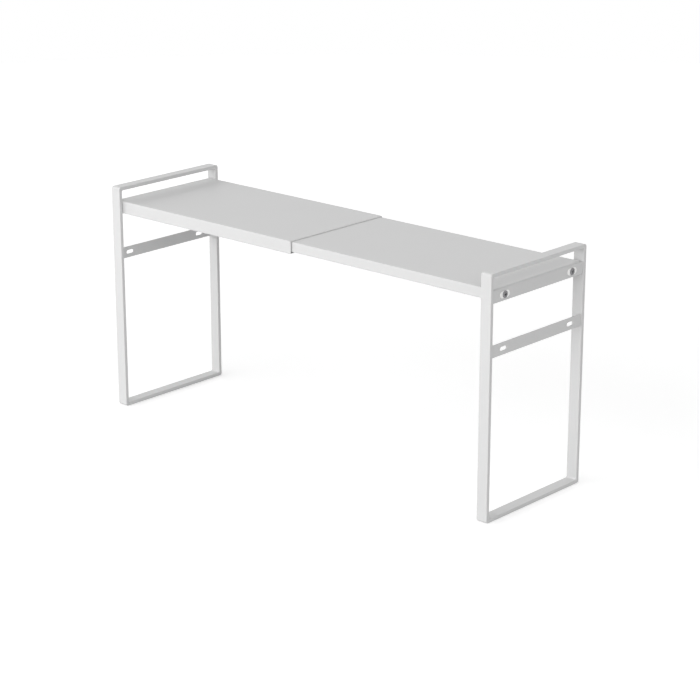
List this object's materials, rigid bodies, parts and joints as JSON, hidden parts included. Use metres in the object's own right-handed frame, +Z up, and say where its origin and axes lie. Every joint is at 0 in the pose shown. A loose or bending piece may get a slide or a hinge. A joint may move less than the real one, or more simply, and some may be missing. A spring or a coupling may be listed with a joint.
{
  "type": "expandable cabinet shelf",
  "caption": "Expandable cabinet shelf: telescoping folded-steel panels screwed between strip-steel end frames with raised end rails and slotted crossbars for changing the shelf height.",
  "frame": {"origin": "on the floor, midway between the end frames and midway from front to back, at the opening shown in the picture", "axes": "+X along the shelf from the outer panel towards the inner panel, the front is -Y, +Z up"},
  "size_m": [0.673, 0.191, 0.32],
  "materials": {
    "powder_coated_steel": "satin",
    "white_nylon": "satin",
    "dark_screw_steel": "satin",
    "zinc_plated_steel": "satin"
  },
  "bodies": {
    "fixed_half": {"left_frame_loop": "powder_coated_steel", "left_upper_crossbar": "powder_coated_steel", "left_lower_crossbar": "powder_coated_steel", "outer_shelf_panel": "powder_coated_steel", "left_front_screw": "dark_screw_steel", "left_front_washer": "white_nylon", "left_front_nut": "zinc_plated_steel", "left_rear_screw": "dark_screw_steel", "left_rear_washer": "white_nylon", "left_rear_nut": "zinc_plated_steel"},
    "sliding_half": {"right_frame_loop": "powder_coated_steel", "right_upper_crossbar": "powder_coated_steel", "right_lower_crossbar": "powder_coated_steel", "inner_shelf_panel": "powder_coated_steel", "right_front_screw": "dark_screw_steel", "right_front_washer": "white_nylon", "right_front_nut": "zinc_plated_steel", "right_rear_screw": "dark_screw_steel", "right_rear_washer": "white_nylon", "right_rear_nut": "zinc_plated_steel"}
  },
  "joints": [
    {"name": "shelf_extension", "type": "slide", "parent": "fixed_half", "child": "sliding_half", "axis": [1, 0, 0], "range_m": [-0.269, 0.02]}
  ]
}
